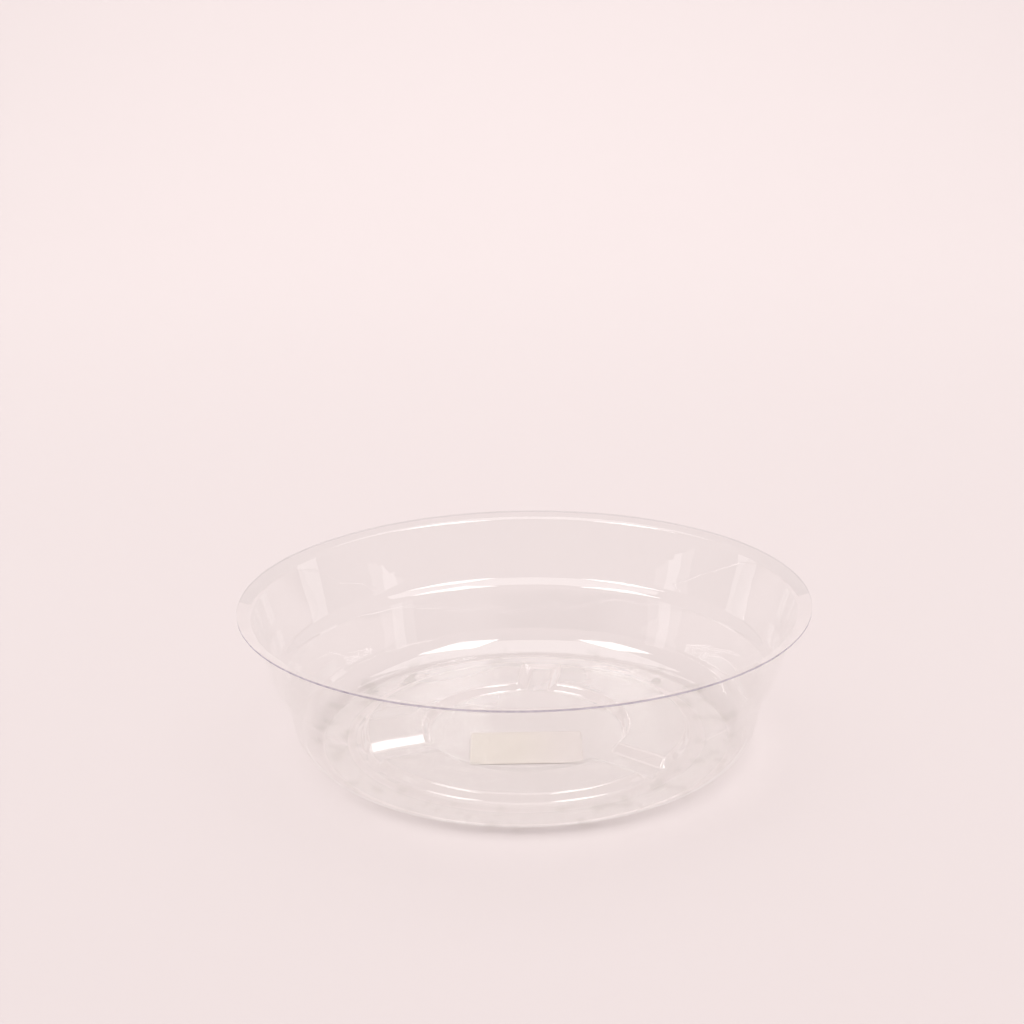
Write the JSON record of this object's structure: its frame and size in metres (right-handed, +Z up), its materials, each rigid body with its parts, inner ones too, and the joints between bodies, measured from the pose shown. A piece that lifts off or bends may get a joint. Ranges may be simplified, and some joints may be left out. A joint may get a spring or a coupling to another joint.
{
  "type": "plant saucer",
  "caption": "Clear thermoformed plant saucer with a flared rim, stepped wall and ridged, channelled floor that catches water under a pot.",
  "frame": {"origin": "centre of the foot ring on the table, under the middle of the rim", "axes": "+Z up along the saucer's axis, -Y towards the camera side of the picture (the label's side), +X to the right of the picture"},
  "size_m": [0.152, 0.152, 0.04],
  "materials": {
    "clear_vinyl": "clear, glossy thermoformed vinyl sheet",
    "label_paper": "bare, pale paper label seen from its adhesive side"
  },
  "bodies": {
    "root": {"saucer_shell": "clear_vinyl", "underside_label": "label_paper"}
  },
  "joints": []
}
